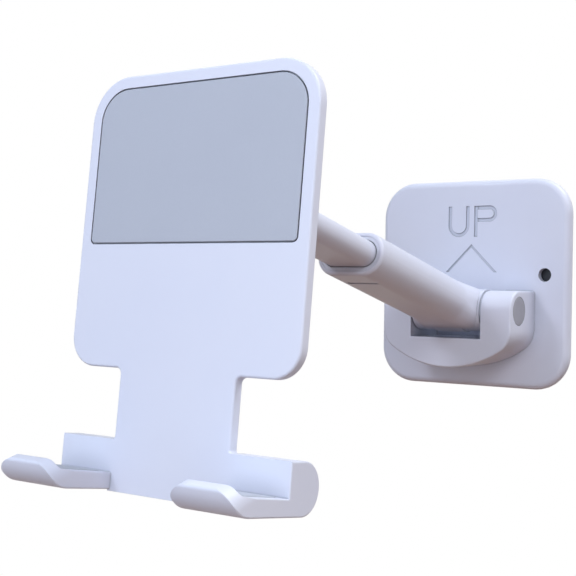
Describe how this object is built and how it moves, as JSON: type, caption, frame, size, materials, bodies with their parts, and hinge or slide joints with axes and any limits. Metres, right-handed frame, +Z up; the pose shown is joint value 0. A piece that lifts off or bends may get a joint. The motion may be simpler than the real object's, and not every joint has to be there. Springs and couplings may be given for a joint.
{
  "type": "wall phone mount",
  "caption": "Wall-mounted phone holder: square adhesive plate, telescopic arm that pitches in a yoke, and a tilting holder plate with padded face and hooks.",
  "frame": {"origin": "middle of the face that sticks to the wall", "axes": "+Y into the wall, +Z up, +X to the right for someone facing the wall"},
  "size_m": [0.07, 0.1782, 0.102],
  "materials": {
    "white_plastic": "fine satin moulding",
    "cap_plastic": "semi-gloss",
    "pad_silicone": "matte, soft",
    "foam": "charcoal closed-cell foam, adhesive",
    "steel": "zinc-plated",
    "slide_plastic": "smooth acetal"
  },
  "bodies": {
    "base": {"wall_base": "white_plastic", "adhesive_pad": "foam", "arm_screw": "steel", "arm_nut": "steel", "arm_spring_washer": "steel", "arm_washer_right": "slide_plastic", "arm_washer_left": "slide_plastic", "arm_cap_right": "cap_plastic", "arm_cap_left": "cap_plastic"},
    "arm": {"arm_sleeve": "white_plastic", "mouth_bush": "slide_plastic"},
    "slider": {"arm_tube": "white_plastic", "tube_glide": "slide_plastic"},
    "holder": {"phone_plate": "white_plastic", "front_pad": "pad_silicone", "hook_liner_right": "pad_silicone", "hook_liner_left": "pad_silicone", "tilt_screw": "steel", "tilt_nut": "steel", "tilt_spring_washer": "steel", "tilt_washer_right": "slide_plastic", "tilt_washer_left": "slide_plastic", "tilt_cap_right": "cap_plastic", "tilt_cap_left": "cap_plastic"}
  },
  "joints": [
    {"name": "arm_pitch", "type": "hinge", "parent": "base", "child": "arm", "pos_m": [0, -0.0155, -0.0089], "axis": [1, 0, 0], "range_deg": [-75.7, 24]},
    {"name": "arm_extend", "type": "slide", "parent": "arm", "child": "slider", "axis": [0, -0.969, 0.247], "range_m": [-0.032, 0.004]},
    {"name": "plate_tilt", "type": "hinge", "parent": "slider", "child": "holder", "pos_m": [0, -0.13701, 0.02207], "axis": [-1, 0, 0], "range_deg": [-80, 50]}
  ]
}
